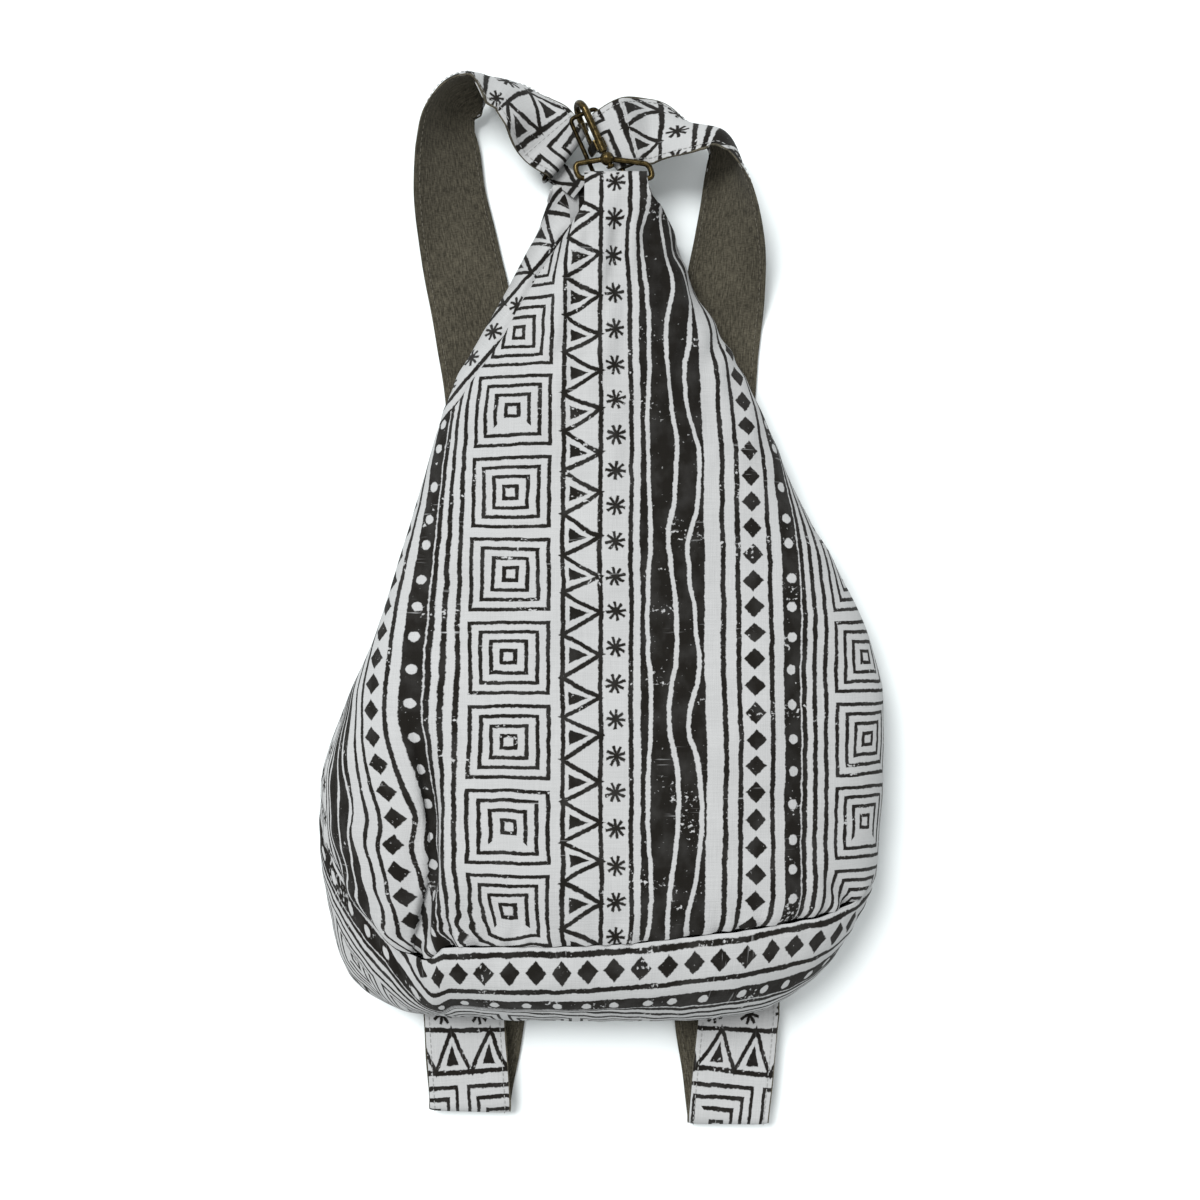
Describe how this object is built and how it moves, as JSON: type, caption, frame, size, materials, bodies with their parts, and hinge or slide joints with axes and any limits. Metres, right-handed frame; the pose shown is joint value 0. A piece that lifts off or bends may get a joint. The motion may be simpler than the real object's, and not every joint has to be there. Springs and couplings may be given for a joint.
{
  "type": "sling backpack",
  "caption": "Soft teardrop cotton backpack with a block-printed body, loose fabric shoulder straps and a brass swivel hook that clips its gathered top onto the straps' rings.",
  "frame": {"origin": "centre of the bag's plan, on the surface it lies on", "axes": "+X to the right as seen from the front, +Y from the base to the hook, +Z from the back panel out through the printed front"},
  "size_m": [0.3084, 0.5856, 0.0899],
  "materials": {
    "printed_cotton": "matte woven cotton with a charcoal block print on a pale grey ground",
    "chambray_cotton": "matte slubby dark grey weave",
    "antique_brass": "antiqued, polished on the wear edges"
  },
  "bodies": {
    "bag": {"front_panel": "printed_cotton", "bottom_panel": "printed_cotton", "back_panel": "printed_cotton", "left_strap_face": "printed_cotton", "left_strap_backing": "chambray_cotton", "right_strap_face": "printed_cotton", "right_strap_backing": "chambray_cotton", "ring_tab": "printed_cotton"},
    "eye": {"hook_eye": "antique_brass"},
    "hook": {"hook_body": "antique_brass", "gate_pin": "antique_brass", "gate_spring": "antique_brass"},
    "gate": {"hook_gate": "antique_brass"},
    "left_ring": {"left_ring": "antique_brass"},
    "right_ring": {"right_ring": "antique_brass"}
  },
  "joints": [
    {"name": "hook_eye_tilt", "type": "hinge", "parent": "bag", "child": "eye", "pos_m": [0.00778, 0.22907, 0.04], "axis": [1, 0, 0], "range_deg": [-3, 3]},
    {"name": "hook_swivel", "type": "hinge", "parent": "eye", "child": "hook", "pos_m": [0.00308, 0.23977, 0.04], "axis": [-0.4067, 0.9135, 0], "range_deg": [-2, 12]},
    {"name": "gate_hinge", "type": "hinge", "parent": "hook", "child": "gate", "pos_m": [-0.00342, 0.24673, 0.02841], "axis": [0.8824, 0.3929, -0.2588], "range_deg": [0, 22], "stiffness_Nm_per_rad": 0.02, "springref_deg": -11.46},
    {"name": "left_ring_swing", "type": "hinge", "parent": "bag", "child": "left_ring", "pos_m": [-0.02002, 0.24887, 0.0175], "axis": [0.6157, 0.788, 0], "range_deg": [-5, 5]},
    {"name": "right_ring_swing", "type": "hinge", "parent": "bag", "child": "right_ring", "pos_m": [0.00478, 0.2512, 0.0335], "axis": [-0.4067, 0.9135, 0], "range_deg": [-5, 5]}
  ]
}
